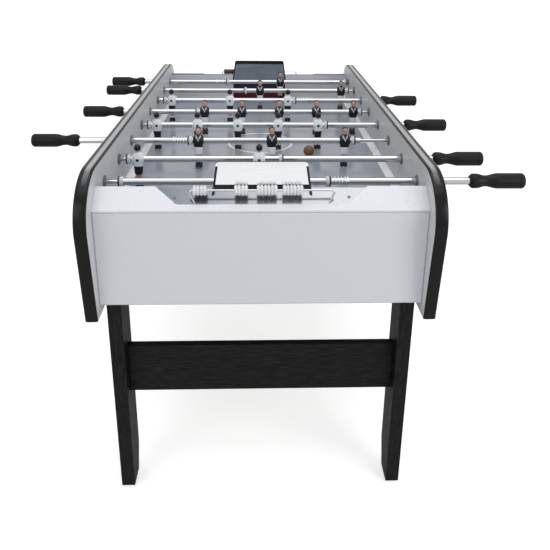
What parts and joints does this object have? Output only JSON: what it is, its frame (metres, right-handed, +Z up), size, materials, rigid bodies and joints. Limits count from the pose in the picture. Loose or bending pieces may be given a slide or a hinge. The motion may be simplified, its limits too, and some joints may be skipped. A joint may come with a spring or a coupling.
{
  "type": "foosball table",
  "caption": "Free-standing foosball table with curved side panels, telescopic rods with players, sliding bead counters and H-shaped legs.",
  "frame": {"origin": "on the floor under the middle of the cabinet", "axes": "+X across the table to the right, +Y along the table to the far goal, +Z up"},
  "size_m": [1.1906, 1.374, 0.86],
  "materials": {
    "laminate_grey": "grey laminate on board, satin",
    "edge_black": "black extruded edge strip, glossy",
    "panel_white": "light grey melamine, satin",
    "top_white": "white moulded cover, satin",
    "plate_steel": "brushed steel sheet",
    "board_grey": "grey laminate on board",
    "pocket_navy": "dark moulded tray with a maroon rubber pad",
    "hood_bright": "bright polished sheet",
    "frame_smoke": "dark glossy moulding",
    "wire_chrome": "chromed wire",
    "bead_white": "milky moulded plastic",
    "bead_brown": "dark brown moulded plastic",
    "field_grey": "glossy grey board",
    "line_white": "white printed markings",
    "strip_white": "white corner strip",
    "board_dark": "hardboard",
    "leg_black": "black laminate on board, satin",
    "glide_black": "black foot glide",
    "bolt_black": "black coated bolts",
    "bearing_black": "black nylon bearings",
    "tube_chrome": "chromed steel tube with white and black stops",
    "rod_steel": "polished steel rod",
    "kit_white": "painted moulded player, light kit",
    "kit_black": "painted moulded player, dark kit",
    "grip_black": "black moulded grip",
    "ball_cork": "orange brown ball"
  },
  "bodies": {
    "table": {"side_panel_left": "laminate_grey", "side_panel_right": "laminate_grey", "side_trim_left": "edge_black", "side_trim_right": "edge_black", "end_panel_near": "panel_white", "end_panel_far": "panel_white", "end_tops": "top_white", "end_plates": "plate_steel", "goal_boards": "board_grey", "goal_pockets": "pocket_navy", "goal_hoods": "hood_bright", "goal_frames": "frame_smoke", "score_wires": "wire_chrome", "playing_field": "field_grey", "field_markings": "line_white", "field_ramps": "strip_white", "cabinet_bottom": "board_dark", "leg_posts": "leg_black", "leg_crossboards": "leg_black", "foot_glides": "glide_black", "leg_bolts": "bolt_black", "rod_bearings": "bearing_black"},
    "rod_1_core": {"rod_1_inner": "rod_steel"},
    "rod_1": {"rod_1_tube": "tube_chrome", "rod_1_men": "kit_white", "rod_1_handle": "grip_black"},
    "rod_2_core": {"rod_2_inner": "rod_steel"},
    "rod_2": {"rod_2_tube": "tube_chrome", "rod_2_men": "kit_white", "rod_2_handle": "grip_black"},
    "rod_3_core": {"rod_3_inner": "rod_steel"},
    "rod_3": {"rod_3_tube": "tube_chrome", "rod_3_men": "kit_black", "rod_3_handle": "grip_black"},
    "rod_4_core": {"rod_4_inner": "rod_steel"},
    "rod_4": {"rod_4_tube": "tube_chrome", "rod_4_men": "kit_white", "rod_4_handle": "grip_black"},
    "rod_5_core": {"rod_5_inner": "rod_steel"},
    "rod_5": {"rod_5_tube": "tube_chrome", "rod_5_men": "kit_black", "rod_5_handle": "grip_black"},
    "rod_6_core": {"rod_6_inner": "rod_steel"},
    "rod_6": {"rod_6_tube": "tube_chrome", "rod_6_men": "kit_white", "rod_6_handle": "grip_black"},
    "rod_7_core": {"rod_7_inner": "rod_steel"},
    "rod_7": {"rod_7_tube": "tube_chrome", "rod_7_men": "kit_black", "rod_7_handle": "grip_black"},
    "rod_8_core": {"rod_8_inner": "rod_steel"},
    "rod_8": {"rod_8_tube": "tube_chrome", "rod_8_men": "kit_black", "rod_8_handle": "grip_black"},
    "counter_near_left": {"beads_near_left": "bead_white"},
    "counter_near_right": {"beads_near_right": "bead_white"},
    "counter_far_left": {"beads_far_left": "bead_brown"},
    "counter_far_right": {"beads_far_right": "bead_brown"},
    "ball": {"ball": "ball_cork"}
  },
  "joints": [
    {"name": "rod_1_spin", "type": "hinge", "parent": "table", "child": "rod_1_core", "pos_m": [0, -0.525, 0.79], "axis": [1, 0, 0], "continuous": true},
    {"name": "rod_1_slide", "type": "slide", "parent": "rod_1_core", "child": "rod_1", "axis": [1, 0, 0], "range_m": [-0.02624, 0.14976]},
    {"name": "rod_2_spin", "type": "hinge", "parent": "table", "child": "rod_2_core", "pos_m": [0, -0.375, 0.79], "axis": [1, 0, 0], "continuous": true},
    {"name": "rod_2_slide", "type": "slide", "parent": "rod_2_core", "child": "rod_2", "axis": [1, 0, 0], "range_m": [-0.0132, 0.2858]},
    {"name": "rod_3_spin", "type": "hinge", "parent": "table", "child": "rod_3_core", "pos_m": [0, -0.225, 0.79], "axis": [1, 0, 0], "continuous": true},
    {"name": "rod_3_slide", "type": "slide", "parent": "rod_3_core", "child": "rod_3", "axis": [1, 0, 0], "range_m": [-0.10758, 0.07242]},
    {"name": "rod_4_spin", "type": "hinge", "parent": "table", "child": "rod_4_core", "pos_m": [0, -0.075, 0.79], "axis": [1, 0, 0], "continuous": true},
    {"name": "rod_4_slide", "type": "slide", "parent": "rod_4_core", "child": "rod_4", "axis": [1, 0, 0], "range_m": [-0.01248, 0.14352]},
    {"name": "rod_5_spin", "type": "hinge", "parent": "table", "child": "rod_5_core", "pos_m": [0, 0.075, 0.79], "axis": [1, 0, 0], "continuous": true},
    {"name": "rod_5_slide", "type": "slide", "parent": "rod_5_core", "child": "rod_5", "axis": [1, 0, 0], "range_m": [-0.13806, 0.01794]},
    {"name": "rod_6_spin", "type": "hinge", "parent": "table", "child": "rod_6_core", "pos_m": [0, 0.225, 0.79], "axis": [1, 0, 0], "continuous": true},
    {"name": "rod_6_slide", "type": "slide", "parent": "rod_6_core", "child": "rod_6", "axis": [1, 0, 0], "range_m": [-0.00102, 0.17898]},
    {"name": "rod_7_spin", "type": "hinge", "parent": "table", "child": "rod_7_core", "pos_m": [0, 0.375, 0.79], "axis": [1, 0, 0], "continuous": true},
    {"name": "rod_7_slide", "type": "slide", "parent": "rod_7_core", "child": "rod_7", "axis": [1, 0, 0], "range_m": [-0.2825, 0.0165]},
    {"name": "rod_8_spin", "type": "hinge", "parent": "table", "child": "rod_8_core", "pos_m": [0, 0.525, 0.79], "axis": [1, 0, 0], "continuous": true},
    {"name": "rod_8_slide", "type": "slide", "parent": "rod_8_core", "child": "rod_8", "axis": [1, 0, 0], "range_m": [-0.17436, 0.00164]},
    {"name": "counter_near_left_slide", "type": "slide", "parent": "table", "child": "counter_near_left", "axis": [1, 0, 0], "range_m": [0, 0.026]},
    {"name": "counter_near_right_slide", "type": "slide", "parent": "table", "child": "counter_near_right", "axis": [1, 0, 0], "range_m": [-0.026, 0.056]},
    {"name": "counter_far_left_slide", "type": "slide", "parent": "table", "child": "counter_far_left", "axis": [1, 0, 0], "range_m": [0, 0.026]},
    {"name": "counter_far_right_slide", "type": "slide", "parent": "table", "child": "counter_far_right", "axis": [1, 0, 0], "range_m": [-0.026, 0.052]},
    {"name": "ball_roll", "type": "hinge", "parent": "table", "child": "ball", "pos_m": [0.139, -0.126, 0.7278], "axis": [1, 0, 0], "continuous": true}
  ]
}
